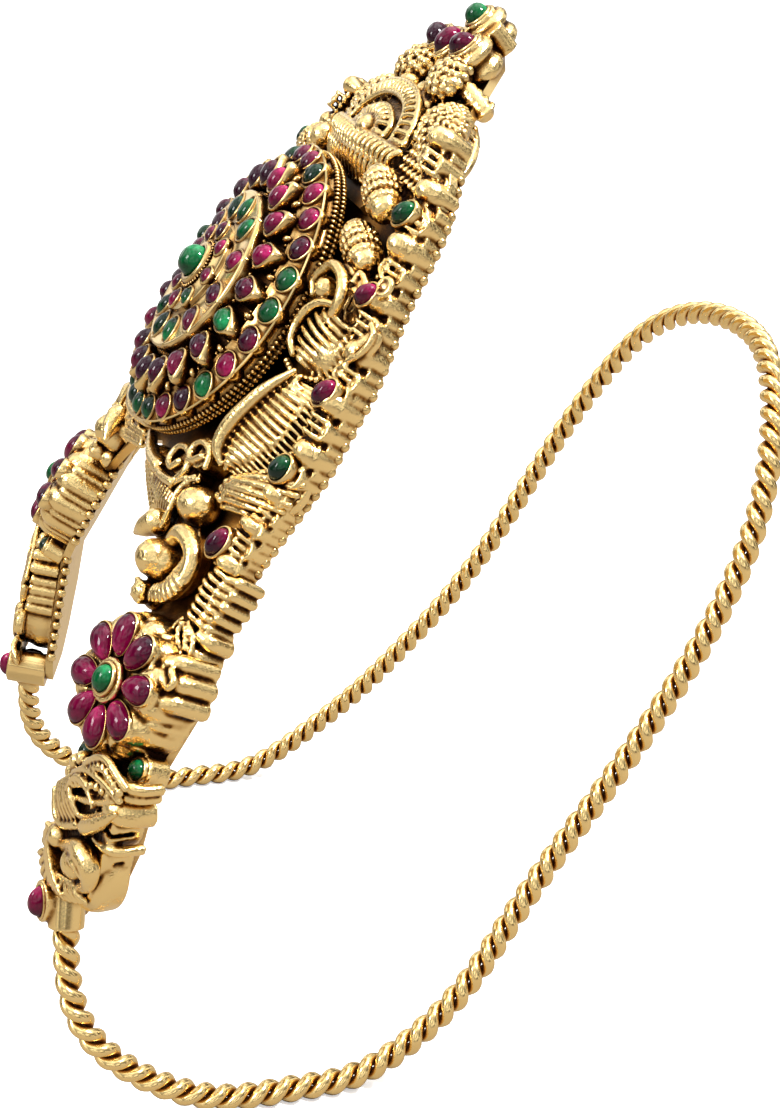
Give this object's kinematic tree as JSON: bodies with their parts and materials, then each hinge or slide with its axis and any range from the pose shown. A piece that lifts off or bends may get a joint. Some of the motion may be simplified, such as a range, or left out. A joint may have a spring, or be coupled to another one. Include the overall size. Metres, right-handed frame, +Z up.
{
  "type": "bajuband armlet",
  "caption": "Upper-arm ornament: a cast front with a stone-set round rosette, crest and two legs, sprung on a loop of twisted rope.",
  "frame": {"origin": "on the surface that the armlet stands on, under the middle of its box", "axes": "+Z up, X across the armlet, from one leg to the other, -Y towards the side of the decorated face"},
  "size_m": [0.0746, 0.0896, 0.1108],
  "materials": {
    "cast_gold": "cast, polished on the high points, dark in the recesses",
    "sheet_gold": "plain gilt sheet, satin",
    "rope_gold": "polished twisted wire, dark between the strands",
    "ruby": "polished red stone",
    "emerald": "polished green stone"
  },
  "bodies": {
    "root": {"back_sheet": "sheet_gold", "rosette_dish": "cast_gold", "rosette_rubies": "ruby", "rosette_emeralds": "emerald", "rosette_centre": "emerald", "crest_finial": "cast_gold", "finial_rubies": "ruby", "finial_emerald": "emerald", "crest_hood": "cast_gold", "right_crest_bird": "cast_gold", "left_crest_bird": "cast_gold", "right_drums": "cast_gold", "left_drums": "cast_gold", "right_peacock": "cast_gold", "left_peacock": "cast_gold", "right_wing": "cast_gold", "left_wing": "cast_gold", "right_feather": "cast_gold", "left_feather": "cast_gold", "right_gallery": "cast_gold", "left_gallery": "cast_gold", "right_edge_rubies": "ruby", "left_edge_rubies": "ruby", "right_edge_emeralds": "emerald", "left_edge_emeralds": "emerald", "right_scrolls": "cast_gold", "left_scrolls": "cast_gold", "right_trunk": "cast_gold", "left_trunk": "cast_gold", "right_ridges": "cast_gold", "left_ridges": "cast_gold", "right_flower": "cast_gold", "left_flower": "cast_gold", "right_petals": "ruby", "left_petals": "ruby", "right_flower_centre": "emerald", "left_flower_centre": "emerald", "right_leg_emeralds": "emerald", "left_leg_emeralds": "emerald", "right_foot_head": "cast_gold", "left_foot_head": "cast_gold", "right_foot_wall": "cast_gold", "left_foot_wall": "cast_gold", "right_end_cup": "cast_gold", "left_end_cup": "cast_gold", "right_end_ruby": "ruby", "left_end_ruby": "ruby", "strand_a": "rope_gold", "strand_b": "rope_gold"}
  },
  "joints": []
}
